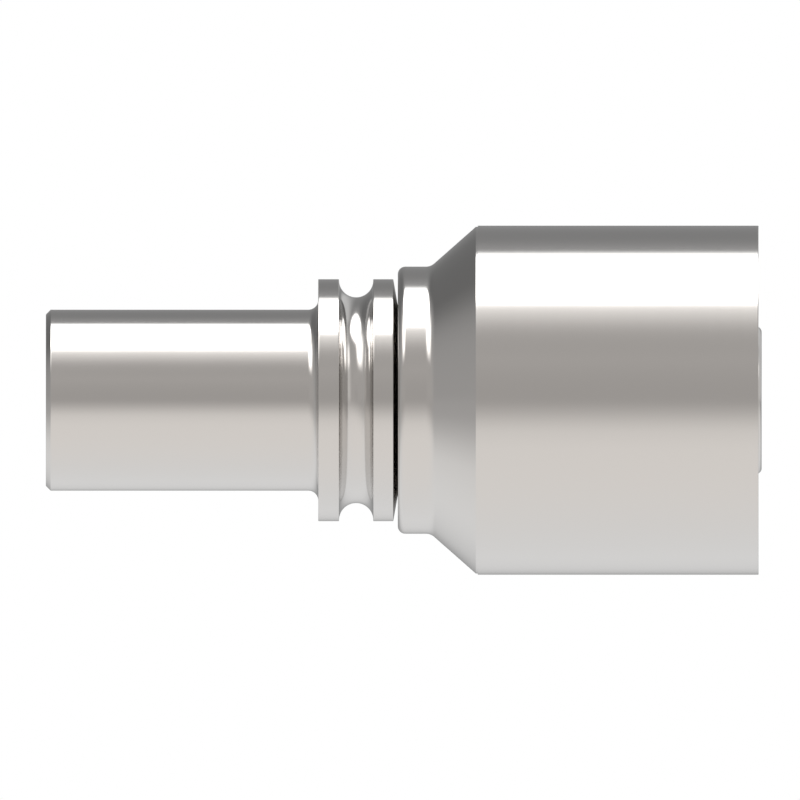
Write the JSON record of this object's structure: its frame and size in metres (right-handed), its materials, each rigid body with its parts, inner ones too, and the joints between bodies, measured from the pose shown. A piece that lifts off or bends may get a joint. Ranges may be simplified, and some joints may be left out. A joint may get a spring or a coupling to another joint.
{
  "type": "straight hose fitting",
  "caption": "Straight crimp fitting with a plain tube end, a grooved collar and an uncrimped shell round a barbed hose tail.",
  "frame": {"origin": "on the fitting's axis, at the end face of the hose tail, which the part stands on", "axes": "+Z along the axis, from the hose end up to the tube end; X and Y are alike, because the part is turned"},
  "size_m": [0.0732, 0.0732, 0.1503],
  "materials": {
    "steel": "satin"
  },
  "bodies": {
    "root": {"hose_insert": "steel", "crimp_shell": "steel"}
  },
  "joints": []
}
